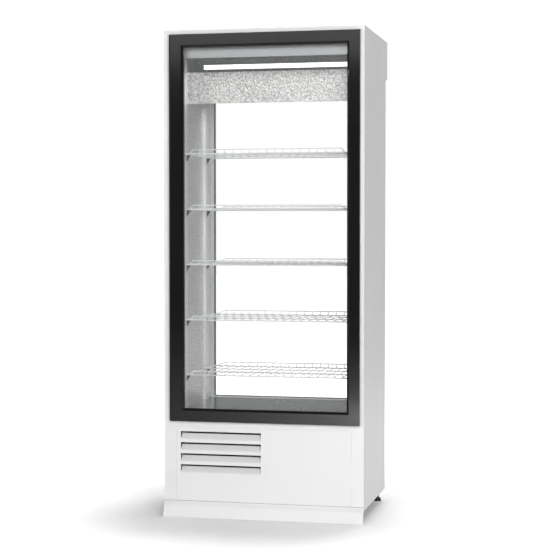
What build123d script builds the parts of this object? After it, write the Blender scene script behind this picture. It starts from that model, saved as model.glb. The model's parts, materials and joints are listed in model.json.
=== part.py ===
"""Double-sided display fridge with a glass door at the front and another at the rear.

Millimetres. +Z is up, X runs along the width and the front faces -Y.
The origin is the centre of the footprint, on the floor.
"""
from build123d import *
from math import cos, radians, sin
import os

# Cabinet, overall
WIDTH = 825
HEIGHT = 1977
BODY_DEPTH = 556
PLINTH_PROUD = 24
CANOPY_PROUD = 48
BODY_BASE_Z = 50
SHEET = 1.2
LINER_SHEET = 0.8
POST_WIDTH = 50
PANEL_BASE_Z = 66
PANEL_TOP_Z = 367.5
PANEL_GAP = 0.5
LIP_LENGTH = 14
PLINTH_PLATE = 1.5
PLINTH_TOP_GAP = 2
PLINTH_STEP_HEIGHT = 8
PLINTH_STEP_IN = 3
PLINTH_CHAMFER_OUT = 8
PLINTH_CHAMFER_Z = 46
PLINTH_FLOOR_GAP = 1
PAN_RIM_IN = 4.5

# Rear of the cabinet
CANOPY_OVERLAP = 41
VENT_MID_Z = 235
VENT_X_PITCH = 150
VENT_Z_PITCH = 16
VENT_COLUMNS = 4
VENT_ROWS = 10
VENT_LENGTH = 120
VENT_HEIGHT = 6
GLAND_X = 300
GLAND_Z = 110
GLAND_RADIUS = 14
GLAND_THREAD_RADIUS = 10
GLAND_HEAD = 10
GLAND_THREAD_LENGTH = 14
GLAND_BORE_RADIUS = 4.5
SCREW_RADIUS = 2
SCREW_HEAD_RADIUS = 4.2
SCREW_HEAD_HEIGHT = 2.4
SCREW_LENGTH = 10
SCREW_PLACES = [(hand * 350, screw_z) for hand in (-1, 1) for screw_z in (90, 216, 345)]

# Controls on the canopy
CONTROL_PROUD = 2.5
CONTROL_DEPTH = 30
CONTROL_Z = 1900
CONTROLLER_X = 0
SWITCH_X = 110
CONTROL_CUTOUTS = [(CONTROLLER_X, 35.5, 14.5), (SWITCH_X, 11, 15)]
BEZEL_WIDTH = 3
WINDOW_X = (-27, 15)
WINDOW_HALF_HEIGHT = 10
WINDOW_DEPTH = 0.8
ROCKER_HALF_WIDTH = 6.2
ROCKER_HALF_HEIGHT = 10
ROCKER_BACK = 3
ROCKER_END_RISE = 5
ROCKER_MIDDLE_RISE = 3.4
ROCKER_END_GAP = 1.4
ROCKER_WELL = 12
ROCKER_PIN_HALF = 8
ROCKER_PIN_RADIUS = 1.5
ROCKER_PIVOT_IN = 5
ROCKER_TILT = 7

# Insulated compartment
LINER_HALF_WIDTH = 357
FLOOR_Z = 434
CEILING_Z = 1912
THROAT_DEPTH = 28
BREAKER_DEPTH = 12
BREAKER_WIDTH = 13
FLOOR_FOAM = 59
FOAM_JOINT = 0.5

# Doors
DOOR_PROUD = 20
DOOR_HINGE_MARGIN = 14.5
DOOR_FREE_MARGIN = 28.5
DOOR_TOP_MARGIN = 19
FRONT_DOOR_BASE_Z = 393
REAR_DOOR_BASE_Z = 385.5
CANOPY_BASE_Z = 1815
CANOPY_DOOR_GAP = 8
FRAME_DEPTH = 18
FRAME_FACE = 43.5
FRAME_BEVEL = 9
FRAME_LIP = 1
GLASS_REBATE = 7
GLASS_FIT = 0.3
MITRE_LINE = 0.2
GRIP_WIDTH = 5.5
GRIP_LIP = 6
GRIP_WEB = 1.5
PANE = 4
PANE_GAP = 14
SPACER_WIDTH = 6
SASH_DEPTH = 20
SASH_REVEAL = 3
SASH_CHAMFER = 5
SASH_SIDE_GAP = 3.5
SASH_BASE_GAP = 3
THROAT_BASE_INSET = 37
THROAT_TOP_INSET = 40
GASKET_WIDTH = 12
GASKET_INSET = 3.5
SEAL_GAP = 0.3

# Hinges
HINGE_INSET = 6
HINGE_BEHIND_FACE = 8
PIN_RADIUS = 3
PIN_CLEARANCE = 0.05
PIN_REACH = 12
PIN_BORE_SPARE = 3
HINGE_PLATE = 3
HINGE_LEAF = 1.5
HINGE_LEAF_HEIGHT = 13.5
HINGE_ARM = (-10, 8)
HINGE_ARM_PROUD = 6
HINGE_LEAF_SPAN = (-16, 14)

# Shelving
SHELF_COUNT = 5
LOWEST_SHELF_Z = 571
SHELF_PITCH = 226.75
SLOTS_PER_SHELF_PITCH = 3
SLOT_SPACING = 20
SLOT_WIDTH = 3.4
SLOT_HEIGHT = 12
UPRIGHT_DEPTH = 11
UPRIGHT_WIDTH = 46
FRONT_UPRIGHT_Y = 70
REAR_UPRIGHT_Y = 400
FRONT_CLIP_Y = 105
REAR_CLIP_Y = 418
CLIP_REACH = 17
CLIP_HEIGHT = 27
CLIP_THICKNESS = 3
SHELF_FRONT_Y = 70
SHELF_REAR_Y = 493
SHELF_SIDE_GAP = 2.5
RIM_RADIUS = 2.5
SIDE_RIM_RADIUS = 2.2
MIDDLE_BAR_RADIUS = 1.9
LIP_WIRE_RADIUS = 2
DEPTH_WIRE_RADIUS = 1.5
DEPTH_WIRE_PITCH = 35
DEPTH_WIRE_COUNT = 19
SHELF_LIP_RISE = 17
WIRE_BEND = 4
FRONT_LIP_HALF = 308
REAR_LIP_HALF = 285
LIP_FOOT_X = 323
FRONT_END_RISE = 8
REAR_END_RISE = 9
WELD_SINK = 0.3

# Cooling above
EVAPORATOR_FRONT_Y = 155
EVAPORATOR_REAR_Y = 430
EVAPORATOR_BASE_Z = 1692
EVAPORATOR_LIP_Z = 1821
EVAPORATOR_FALL = 23
EVAPORATOR_SHEET = 1
COOLER_FAN_X = 170
COOLER_FAN_Z = 1812
COOLER_FAN_RADIUS = 74
FAN_TIP_GAP = 4
FAN_DEPTH = 16
FAN_PITCH = 20
BLADE_COUNT = 5
BLADE_ROOT = 2
BLADE_THICKNESS = 1.6
CHORD_SHARE = 0.62
HUB_CAP = 2
COOLER_HUB_RADIUS = 18
COOLER_HUB_BEHIND = 9
STRAP_STANDOFF = 22
STRAP_THICKNESS = 2
STRAP_LEG = 3
STRAP_HALF_HEIGHT = 10
STRAP_REACH = 8
COOLER_MOTOR_BEHIND = 20
COOLER_MOTOR_RADIUS = 30
COOLER_MOTOR_LENGTH = 30
COOLER_SHAFT_RADIUS = 2.5
COOLER_SHAFT_REACH = 5
GUARD_STANDOFF = 16
GUARD_REACH = 6
GUARD_RINGS = 4
GUARD_RING_RADIUS = 1.2
GUARD_BAR_RADIUS = 1.4
GUARD_LEG_RADIUS = 2
EVAPORATOR_COIL_HALF_WIDTH = 285
EVAPORATOR_COIL_Y = (215, 335)
EVAPORATOR_COIL_Z = (1740, 1900)
EVAPORATOR_FIN_PITCH = 15
EVAPORATOR_ROWS = 4
EVAPORATOR_TUBE_RADIUS = 4.5
FIN_THICKNESS = 0.8

# Lighting and fascia
FASCIA_Y = 29
FASCIA_BASE_Z = 1866
FASCIA_TOP_Z = 1906
LAMP_LEFT_X = -282
LAMP_RIGHT_X = 345
LAMP_Y = 45
LAMP_DEPTH = 30
LAMP_BASE_Z = 1839
DIFFUSER_LEFT_X = -257
DIFFUSER_RIGHT_X = 335
DIFFUSER_HEIGHT = 17
DIFFUSER_DEPTH = 16

# Louvres
LOUVRE_LEFT_X = -343
LOUVRE_RIGHT_X = -8
LOUVRE_COUNT = 4
LOUVRE_TOP_Z = 350
LOUVRE_PITCH = 45.2
LOUVRE_HEIGHT = 31
LOUVRE_ANGLE = 47

# Machine space
CONDENSER_FAN_X = -175
CONDENSER_FAN_Z = 215
CONDENSER_FAN_RADIUS = 99
CONDENSER_FRONT_Y = 60
CONDENSER_DEPTH = 48
CONDENSER_HALF_WIDTH = 155
CONDENSER_HALF_HEIGHT = 125
CONDENSER_ROWS = 8
CONDENSER_FIN_PITCH = 12
CONDENSER_HUB_RADIUS = 24
CONDENSER_HUB_BEHIND = 2
SHROUD_DEPTH = 22
MOTOR_GAP = 20
MOTOR_RADIUS = 40
MOTOR_LENGTH = 55
BRACKET_BEHIND = 20
BRACKET_PLATE = 4
BRACKET_FOOT = 40
BRACKET_FOOT_PLATE = 3
COMPRESSOR_X = 190
COMPRESSOR_Y = 330
COMPRESSOR_RADIUS = 75
COMPRESSOR_HEIGHT = 165
COMPRESSOR_DOME = 34
COMPRESSOR_FOOT_X = 75
COMPRESSOR_FOOT_Y = 45
COMPRESSOR_PLATE = 3
COMPRESSOR_PLATE_MARGIN = 15
COMPRESSOR_PLATE_CORNER = 12
TERMINAL_HALF_WIDTH = 25
TERMINAL_SINK = 10
TERMINAL_PROUD = 25
TERMINAL_RISE = (50, 110)
GROMMET_HEIGHT = 11.5
GROMMET_RADIUS = 12
PIPE_RADIUS = 4
PIPE_BEND = 15
PIPE_END_GAP = 1
DISCHARGE_X = 40
DISCHARGE_Z = 150
SUCTION_Z = 180
SUCTION_REACH = 35
DRIER_X = 60
DRIER_RISE = 60
DRIER_RADIUS = 11
DRIER_LENGTH = 110
CAPILLARY_RADIUS = 1.5
TRAY_X = (-310, -70)
TRAY_Y = (400, 520)
TRAY_WALL = 2.5
TRAY_HEIGHT = 45
DRAIN_RADIUS = 9
DRAIN_BORE_RADIUS = 7
DRAIN_END_RISE = 30

# Feet
FOOT_X = 385
FOOT_FRONT_Y = 45
FOOT_REAR_Y = 529
FOOT_RADIUS = 16
FOOT_HEIGHT = 14
STEM_RADIUS = 5
NUT_HEIGHT = 6
BOSS_WALL = 4
BOSS_HEIGHT = 12

# Sizes worked out from the ones above
HALF_WIDTH = WIDTH / 2
CASING_INSIDE_X = HALF_WIDTH - SHEET
POST_INSIDE_X = HALF_WIDTH - POST_WIDTH
TOTAL_DEPTH = PLINTH_PROUD + BODY_DEPTH + CANOPY_PROUD
BODY_FRONT = PLINTH_PROUD - TOTAL_DEPTH / 2
BODY_BACK = BODY_FRONT + BODY_DEPTH
MID_Y = (BODY_FRONT + BODY_BACK) / 2
FRONT_DOOR_TOP_Z = HEIGHT - DOOR_TOP_MARGIN
REAR_DOOR_TOP_Z = CANOPY_BASE_Z - CANOPY_DOOR_GAP
HINGE_EDGE_X = HALF_WIDTH - DOOR_HINGE_MARGIN
GRIP_EDGE_X = DOOR_FREE_MARGIN - HALF_WIDTH
FREE_EDGE_X = GRIP_EDGE_X + GRIP_WIDTH
FRAME_WIDTH = FRAME_FACE + FRAME_BEVEL
GLASS_FRONT = DOOR_PROUD - FRAME_BEVEL - FRAME_LIP
FRAME_BACK = DOOR_PROUD - FRAME_DEPTH
HINGE_X = HINGE_EDGE_X - HINGE_INSET
HINGE_PROUD = DOOR_PROUD - HINGE_BEHIND_FACE
BREAKER_OUTSIDE_X = LINER_HALF_WIDTH + BREAKER_WIDTH
THROAT_LIP_STEP = FRONT_DOOR_TOP_Z - THROAT_TOP_INSET - CEILING_Z
REAR_CEILING_Z = REAR_DOOR_TOP_Z - THROAT_TOP_INSET - THROAT_LIP_STEP
LINER_DEPTH_IN = THROAT_DEPTH + BREAKER_DEPTH
DECK_TOP_Z = FLOOR_Z - LINER_SHEET - FLOOR_FOAM
COVER_BASE_Z = HEIGHT - SHEET
PAN_TOP_Z = BODY_BASE_Z + SHEET
UPRIGHT_FACE_X = LINER_HALF_WIDTH - UPRIGHT_DEPTH
SHELF_HALF_WIDTH = UPRIGHT_FACE_X - SHELF_SIDE_GAP - RIM_RADIUS
SLOT_PITCH = SHELF_PITCH / SLOTS_PER_SHELF_PITCH
CANOPY_FACE = CANOPY_PROUD - CONTROL_PROUD
PLINTH_TOP_Z = PANEL_BASE_Z - PLINTH_TOP_GAP
SHROUD_BACK = BODY_FRONT + CONDENSER_FRONT_Y + CONDENSER_DEPTH + SHROUD_DEPTH
FOOT_PLACES = [(hand * FOOT_X, BODY_FRONT + foot_y)
               for foot_y in (FOOT_FRONT_Y, FOOT_REAR_Y) for hand in (-1, 1)]

FRONT = 1
REAR = -1


def inward(side, distance):
    """Y of a plane that lies this far behind the front face, or behind the rear face."""
    return MID_Y - side * (BODY_DEPTH / 2 - distance)


def depth(distance):
    """Y of a plane that lies this far behind the front face of the body."""
    return BODY_FRONT + distance


def block(x, y, z, mode=Mode.ADD):
    """Add or cut a box in the open part. Each argument is a pair of limits."""
    with Locations((sum(x) / 2, sum(y) / 2, sum(z) / 2)):
        Box(abs(x[1] - x[0]), abs(y[1] - y[0]), abs(z[1] - z[0]), mode=mode)


def rectangle(x, y, mode=Mode.ADD):
    """Add or cut a rectangle in the open sketch. Each argument is a pair of limits."""
    with Locations((sum(x) / 2, sum(y) / 2)):
        Rectangle(abs(x[1] - x[0]), abs(y[1] - y[0]), mode=mode)


def grown(limits, amount):
    """Limits moved apart by the same amount at both ends."""
    return (limits[0] - amount, limits[1] + amount)


def upright_plane(side, distance):
    """A vertical plane that faces outwards, this far behind the front or the rear face."""
    return Plane((0, inward(side, distance), 0), x_dir=(side, 0, 0), z_dir=(0, -side, 0))


def cross_plane(x):
    """A plane across the width, in which x is the depth behind the front face and y is up."""
    return Plane((x, BODY_FRONT, 0), x_dir=(0, 1, 0), z_dir=(1, 0, 0))


def lying_plane(x, y, z, facing=1):
    """A plane square to the depth of the cabinet, for what turns about a front-to-back axis."""
    return Plane((x, y, z), x_dir=(facing, 0, 0), z_dir=(0, -facing, 0))


def save(piece, name):
    """Label a finished piece and write it."""
    piece.part.label = name
    export_step(piece.part, f"parts/{name}.step")


# Cabinet shell

def side_casing(name, hand):
    """Folded skin with a post at the front and another at the rear, each with a return lip."""
    outer = hand * HALF_WIDTH
    skin = hand * CASING_INSIDE_X
    post = hand * POST_INSIDE_X
    with BuildPart() as casing:
        with BuildSketch(Plane.XY.offset(BODY_BASE_Z)):
            rectangle((skin, outer), (BODY_FRONT, BODY_BACK))
            for side in (FRONT, REAR):
                rectangle((post, outer), (inward(side, 0), inward(side, SHEET)))
                rectangle((post, post + hand * SHEET), (inward(side, 0), inward(side, THROAT_DEPTH)))
        extrude(amount=HEIGHT - BODY_BASE_Z)
        for side in (FRONT, REAR):
            block((skin, 0), (inward(side, 0), inward(side, THROAT_DEPTH)),
                  (BODY_BASE_Z, PANEL_BASE_Z), mode=Mode.SUBTRACT)
            block((skin, 0), (inward(side, SHEET), inward(side, THROAT_DEPTH)),
                  (COVER_BASE_Z, HEIGHT), mode=Mode.SUBTRACT)
        block((skin, outer), (depth(0), depth(PAN_RIM_IN)), (BODY_BASE_Z, PLINTH_TOP_Z), mode=Mode.SUBTRACT)
        block((skin, outer), (inward(REAR, CANOPY_OVERLAP), BODY_BACK),
              (CANOPY_BASE_Z, HEIGHT), mode=Mode.SUBTRACT)
    save(casing, name)


def face_rails(name, side, throat_base, throat_top):
    """Header above a door and rail below it, each folded back into the throat."""
    span = (-POST_INSIDE_X, POST_INSIDE_X)
    plate = (inward(side, 0), inward(side, SHEET))
    throat_lip = (inward(side, SHEET), inward(side, THROAT_DEPTH))
    short_lip = (inward(side, SHEET), inward(side, LIP_LENGTH))
    with BuildPart() as rails:
        block(span, plate, (throat_top, COVER_BASE_Z))
        block(span, throat_lip, (throat_top, throat_top + SHEET))
        block(span, plate, (PANEL_TOP_Z + PANEL_GAP, throat_base))
        block(span, throat_lip, (throat_base - SHEET, throat_base))
        block(span, short_lip, (PANEL_TOP_Z + PANEL_GAP, PANEL_TOP_Z + PANEL_GAP + SHEET))
    save(rails, name)


def top_cover():
    with BuildPart() as cover:
        block((-CASING_INSIDE_X, CASING_INSIDE_X), (BODY_FRONT + SHEET, BODY_BACK - SHEET),
              (COVER_BASE_Z, HEIGHT))
        for side in (FRONT, REAR):
            block((-POST_INSIDE_X, POST_INSIDE_X), (inward(side, 0), inward(side, SHEET)), (COVER_BASE_Z, HEIGHT))
    save(cover, "top_cover")


def louvre_flap(bottom):
    """The flap of one louvre, pressed inwards about its lower edge."""
    reach = LOUVRE_HEIGHT * sin(radians(LOUVRE_ANGLE))
    rise = LOUVRE_HEIGHT * cos(radians(LOUVRE_ANGLE))
    skin_back = SHEET * 0.75
    return [(0, bottom - SHEET), (0, bottom), (reach, bottom + rise),
            (reach + skin_back, bottom + rise - skin_back), (SHEET, bottom - SHEET)]


def lower_front_panel():
    """Panel over the machine space, with louvres in front of the condenser."""
    half = POST_INSIDE_X - PANEL_GAP
    with BuildPart() as panel:
        block((-half, half), (depth(0), depth(SHEET)), (PANEL_BASE_Z, PANEL_TOP_Z))
        for fold_z in (PANEL_BASE_Z, PANEL_TOP_Z - SHEET):
            block((-half, half), (depth(SHEET), depth(LIP_LENGTH)), (fold_z, fold_z + SHEET))
        for index in range(LOUVRE_COUNT):
            top = LOUVRE_TOP_Z - index * LOUVRE_PITCH
            bottom = top - LOUVRE_HEIGHT
            block((LOUVRE_LEFT_X, LOUVRE_RIGHT_X), (depth(0), depth(SHEET)), (bottom, top), mode=Mode.SUBTRACT)
            with BuildSketch(cross_plane(LOUVRE_LEFT_X)):
                with BuildLine():
                    Polyline(*louvre_flap(bottom), close=True)
                make_face()
            extrude(amount=LOUVRE_RIGHT_X - LOUVRE_LEFT_X)
    save(panel, "lower_front_panel")


def plinth():
    """Folded kick plate: a step at the top, a chamfer and a face that leans outwards."""
    face_top = PANEL_BASE_Z - PLINTH_STEP_HEIGHT
    outside = [(PLINTH_STEP_IN, PLINTH_TOP_Z), (PLINTH_STEP_IN, face_top), (0, face_top),
               (-PLINTH_CHAMFER_OUT, PLINTH_CHAMFER_Z), (-PLINTH_PROUD, PLINTH_FLOOR_GAP)]
    inside = [(PLINTH_PLATE - PLINTH_PROUD, PLINTH_FLOOR_GAP),
              (PLINTH_PLATE - PLINTH_CHAMFER_OUT, PLINTH_CHAMFER_Z - PLINTH_PLATE / 2),
              (PLINTH_PLATE / 2, face_top - PLINTH_PLATE), (PAN_RIM_IN, face_top - PLINTH_PLATE),
              (PAN_RIM_IN, PLINTH_TOP_Z)]
    with BuildPart() as kick:
        with BuildSketch(cross_plane(-HALF_WIDTH)):
            with BuildLine():
                Polyline(*outside, *inside, close=True)
            make_face()
        extrude(amount=WIDTH)
    save(kick, "plinth")


def rear_canopy():
    """Hood over the rear door, cut out for the controller and the switch."""
    with BuildPart() as canopy:
        back = depth(BODY_DEPTH + CANOPY_FACE)
        block((-HALF_WIDTH, HALF_WIDTH), (inward(REAR, CANOPY_OVERLAP), back), (CANOPY_BASE_Z, HEIGHT))
        block((-CASING_INSIDE_X, CASING_INSIDE_X), (inward(REAR, CANOPY_OVERLAP), back - SHEET),
              (CANOPY_BASE_Z + SHEET, COVER_BASE_Z), mode=Mode.SUBTRACT)
        block((-CASING_INSIDE_X, CASING_INSIDE_X), (inward(REAR, CANOPY_OVERLAP), BODY_BACK + HINGE_LEAF + 1),
              (CANOPY_BASE_Z, CANOPY_BASE_Z + SHEET), mode=Mode.SUBTRACT)
        block((-CASING_INSIDE_X, CASING_INSIDE_X), (inward(REAR, CANOPY_OVERLAP), BODY_BACK),
              (COVER_BASE_Z, HEIGHT), mode=Mode.SUBTRACT)
        for x, half_width, half_height in CONTROL_CUTOUTS:
            block((x - half_width, x + half_width), (back - SHEET, back),
                  (CONTROL_Z - half_height, CONTROL_Z + half_height), mode=Mode.SUBTRACT)
    save(canopy, "rear_canopy")


def rear_lower_panel():
    """Panel over the machine space at the rear, with vent slots and a hole for the gland."""
    half = POST_INSIDE_X - PANEL_GAP
    with BuildPart() as panel:
        with BuildSketch(upright_plane(REAR, 0)):
            rectangle((-half, half), (PANEL_BASE_Z, PANEL_TOP_Z))
            with Locations((0, VENT_MID_Z)):
                with GridLocations(VENT_X_PITCH, VENT_Z_PITCH, VENT_COLUMNS, VENT_ROWS):
                    SlotOverall(VENT_LENGTH, VENT_HEIGHT, mode=Mode.SUBTRACT)
            with Locations((-GLAND_X, GLAND_Z)):
                Circle(GLAND_THREAD_RADIUS, mode=Mode.SUBTRACT)
            with Locations(*SCREW_PLACES):
                Circle(SCREW_RADIUS, mode=Mode.SUBTRACT)
        extrude(amount=-SHEET)
    save(panel, "rear_lower_panel")


def rear_panel_screws():
    with BuildPart() as screws:
        with BuildSketch(upright_plane(REAR, 0)):
            with Locations(*SCREW_PLACES):
                Circle(SCREW_HEAD_RADIUS)
        extrude(amount=SCREW_HEAD_HEIGHT)
        with BuildSketch(upright_plane(REAR, 0)):
            with Locations(*SCREW_PLACES):
                Circle(SCREW_RADIUS)
        extrude(amount=-SCREW_LENGTH)
    save(screws, "rear_panel_screws")


def cable_gland():
    with BuildPart() as gland:
        with BuildSketch(upright_plane(REAR, 0)):
            with Locations((-GLAND_X, GLAND_Z)):
                RegularPolygon(GLAND_RADIUS, 6)
        extrude(amount=GLAND_HEAD)
        with BuildSketch(upright_plane(REAR, 0)):
            with Locations((-GLAND_X, GLAND_Z)):
                Circle(GLAND_THREAD_RADIUS)
        extrude(amount=-GLAND_THREAD_LENGTH)
        with BuildSketch(upright_plane(REAR, -GLAND_HEAD)):
            with Locations((-GLAND_X, GLAND_Z)):
                Circle(GLAND_BORE_RADIUS)
        extrude(amount=-GLAND_HEAD - GLAND_THREAD_LENGTH, mode=Mode.SUBTRACT)
    save(gland, "cable_gland")


def base_pan():
    """Floor of the machine space, with a threaded boss over each foot."""
    with BuildPart() as pan:
        block((-CASING_INSIDE_X, CASING_INSIDE_X), (depth(PAN_RIM_IN), inward(REAR, PAN_RIM_IN)),
              (BODY_BASE_Z, PAN_TOP_Z))
        for side in (FRONT, REAR):
            block((-CASING_INSIDE_X, CASING_INSIDE_X), (inward(side, PAN_RIM_IN), inward(side, PAN_RIM_IN + SHEET)),
                  (PAN_TOP_Z, PLINTH_TOP_Z))
        with BuildSketch(Plane.XY.offset(PAN_TOP_Z)):
            with Locations(*FOOT_PLACES):
                Circle(STEM_RADIUS + BOSS_WALL)
        extrude(amount=BOSS_HEIGHT)
        with BuildSketch(Plane.XY.offset(BODY_BASE_Z)):
            with Locations(*FOOT_PLACES):
                Circle(STEM_RADIUS + PIN_CLEARANCE)
        extrude(amount=SHEET + BOSS_HEIGHT, mode=Mode.SUBTRACT)
    save(pan, "base_pan")


def levelling_foot(name, x, y):
    """Foot with its threaded stem and lock nut."""
    with BuildPart() as foot:
        with Locations((x, y, 0)):
            Cone(FOOT_RADIUS, FOOT_RADIUS * 0.75, FOOT_HEIGHT, align=(Align.CENTER, Align.CENTER, Align.MIN))
        with Locations((x, y, FOOT_HEIGHT)):
            Cylinder(STEM_RADIUS, PAN_TOP_Z + BOSS_HEIGHT - FOOT_HEIGHT,
                     align=(Align.CENTER, Align.CENTER, Align.MIN))
        with BuildSketch(Plane.XY.offset(BODY_BASE_Z - SEAL_GAP)):
            with Locations((x, y)):
                RegularPolygon(STEM_RADIUS * 1.8, 6)
        extrude(amount=-NUT_HEIGHT)
    save(foot, name)


def floor_deck():
    """Steel deck that carries the insulated floor."""
    with BuildPart() as deck:
        block((-CASING_INSIDE_X, CASING_INSIDE_X), (inward(FRONT, THROAT_DEPTH), inward(REAR, THROAT_DEPTH)),
              (DECK_TOP_Z - SHEET, DECK_TOP_Z))
    save(deck, "floor_deck")


# Insulated compartment

def breaker_frames():
    """Plastic rings between the outer casing and the liners, one at each door throat."""
    with BuildPart() as frames:
        for side, ceiling in ((FRONT, CEILING_Z), (REAR, REAR_CEILING_Z)):
            with BuildSketch(upright_plane(side, THROAT_DEPTH)):
                rectangle((-BREAKER_OUTSIDE_X, BREAKER_OUTSIDE_X),
                          (FLOOR_Z - BREAKER_WIDTH, ceiling + BREAKER_WIDTH))
                rectangle((-LINER_HALF_WIDTH, LINER_HALF_WIDTH), (FLOOR_Z, ceiling), mode=Mode.SUBTRACT)
            extrude(amount=-BREAKER_DEPTH)
    save(frames, "breaker_frames")


def insulation():
    """Foam in both sides, above the ceiling and behind the rear wall, and under the floor."""
    wall = LINER_HALF_WIDTH + LINER_SHEET
    slab = (FOAM_JOINT - wall, wall - FOAM_JOINT)
    liner_span = (inward(FRONT, LINER_DEPTH_IN), inward(REAR, LINER_DEPTH_IN))
    with BuildPart() as foam:
        for hand in (-1, 1):
            block((hand * wall, hand * CASING_INSIDE_X), liner_span, (DECK_TOP_Z, COVER_BASE_Z))
            for side in (FRONT, REAR):
                block((hand * BREAKER_OUTSIDE_X, hand * CASING_INSIDE_X),
                      (inward(side, SHEET), inward(side, LINER_DEPTH_IN)), (DECK_TOP_Z, COVER_BASE_Z))
        block(slab, liner_span, (CEILING_Z + LINER_SHEET, COVER_BASE_Z))
        for side, ceiling in ((FRONT, CEILING_Z), (REAR, REAR_CEILING_Z)):
            block(slab, (inward(side, SHEET), inward(side, LINER_DEPTH_IN)),
                  (ceiling + BREAKER_WIDTH, COVER_BASE_Z))
            block(slab, (inward(side, SHEET), inward(side, LINER_DEPTH_IN)),
                  (DECK_TOP_Z, FLOOR_Z - BREAKER_WIDTH))
        block(slab, liner_span, (DECK_TOP_Z, FLOOR_Z - LINER_SHEET))
    save(foam, "insulation")


def liner_walls():
    """Stucco sheets on both sides, on the ceiling and above the rear door."""
    span = (inward(FRONT, LINER_DEPTH_IN), inward(REAR, LINER_DEPTH_IN))
    rear_sheet_y = inward(REAR, LINER_DEPTH_IN + LINER_SHEET)
    full = (-LINER_HALF_WIDTH, LINER_HALF_WIDTH)
    with BuildPart() as liners:
        for hand in (-1, 1):
            block((hand * LINER_HALF_WIDTH, hand * (LINER_HALF_WIDTH + LINER_SHEET)), span,
                  (FLOOR_Z - LINER_SHEET, CEILING_Z + LINER_SHEET))
        block(full, (span[0], rear_sheet_y), (CEILING_Z, CEILING_Z + LINER_SHEET))
        block(full, (rear_sheet_y, span[1]), (REAR_CEILING_Z, CEILING_Z + LINER_SHEET))
    save(liners, "liner_walls")


def liner_floor():
    with BuildPart() as floor:
        block((-LINER_HALF_WIDTH, LINER_HALF_WIDTH),
              (inward(FRONT, LINER_DEPTH_IN), inward(REAR, LINER_DEPTH_IN)), (FLOOR_Z - LINER_SHEET, FLOOR_Z))
    save(floor, "liner_floor")


# Shelving

def upright_slots(top):
    """Heights of the slots: pairs at a third of the shelf pitch, one pair behind each clip."""
    first = LOWEST_SHELF_Z - CLIP_HEIGHT / 2
    lowest = first - SLOT_PITCH * int((first - SLOT_SPACING - FLOOR_Z) / SLOT_PITCH)
    count = int((top - SLOT_SPACING - lowest) / SLOT_PITCH) + 1
    middles = [lowest + index * SLOT_PITCH for index in range(count)]
    return [middle + offset for middle in middles for offset in (-SLOT_SPACING / 2, SLOT_SPACING / 2)]


def shelf_uprights():
    """Four slotted channels on the side walls."""
    with BuildPart() as uprights:
        for near, clip_y, top in ((FRONT_UPRIGHT_Y, FRONT_CLIP_Y, FASCIA_BASE_Z),
                                  (REAR_UPRIGHT_Y, REAR_CLIP_Y, EVAPORATOR_BASE_Z)):
            for hand in (-1, 1):
                face = hand * UPRIGHT_FACE_X
                wall = hand * LINER_HALF_WIDTH
                block((face, wall), (depth(near), depth(near + UPRIGHT_WIDTH)), (FLOOR_Z, top))
                block((face + hand * SHEET, wall), (depth(near + SHEET), depth(near + UPRIGHT_WIDTH - SHEET)),
                      (FLOOR_Z, top), mode=Mode.SUBTRACT)
                slot_x = face + hand * SHEET / 2
                with Locations(*[(slot_x, depth(clip_y), slot_z) for slot_z in upright_slots(top)]):
                    Box(SHEET, SLOT_WIDTH, SLOT_HEIGHT, mode=Mode.SUBTRACT)
    save(uprights, "shelf_uprights")


def shelf_clips():
    """Black gussets hooked into the uprights, four under each shelf."""
    hook_depth = SHEET * 2
    with BuildPart() as clips:
        for index in range(SHELF_COUNT):
            top = LOWEST_SHELF_Z + index * SHELF_PITCH
            middle = top - CLIP_HEIGHT / 2
            for clip_y in (FRONT_CLIP_Y, REAR_CLIP_Y):
                for hand in (-1, 1):
                    face = hand * UPRIGHT_FACE_X
                    with BuildSketch(Plane.XZ.offset(-depth(clip_y - CLIP_THICKNESS / 2))):
                        with BuildLine():
                            Polyline((face, top), (face - hand * CLIP_REACH, top), (face, top - CLIP_HEIGHT),
                                     close=True)
                        make_face()
                    extrude(amount=-CLIP_THICKNESS)
                    for offset in (-SLOT_SPACING / 2, SLOT_SPACING / 2):
                        block((face, face + hand * hook_depth),
                              (depth(clip_y - CLIP_THICKNESS / 2), depth(clip_y + CLIP_THICKNESS / 2)),
                              (middle + offset - SLOT_HEIGHT / 4, middle + offset + SLOT_HEIGHT / 4))
    save(clips, "shelf_clips")


def bent_wire(plane, points, bend, radius):
    """Sweep one round wire along straight runs with rounded bends."""
    with BuildPart() as wire:
        with BuildLine(plane) as route:
            FilletPolyline(*points, radius=bend)
        with BuildSketch(Plane(origin=route.line @ 0, z_dir=route.line % 0)):
            Circle(radius)
        sweep(path=route.line)
    return wire.part


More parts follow.
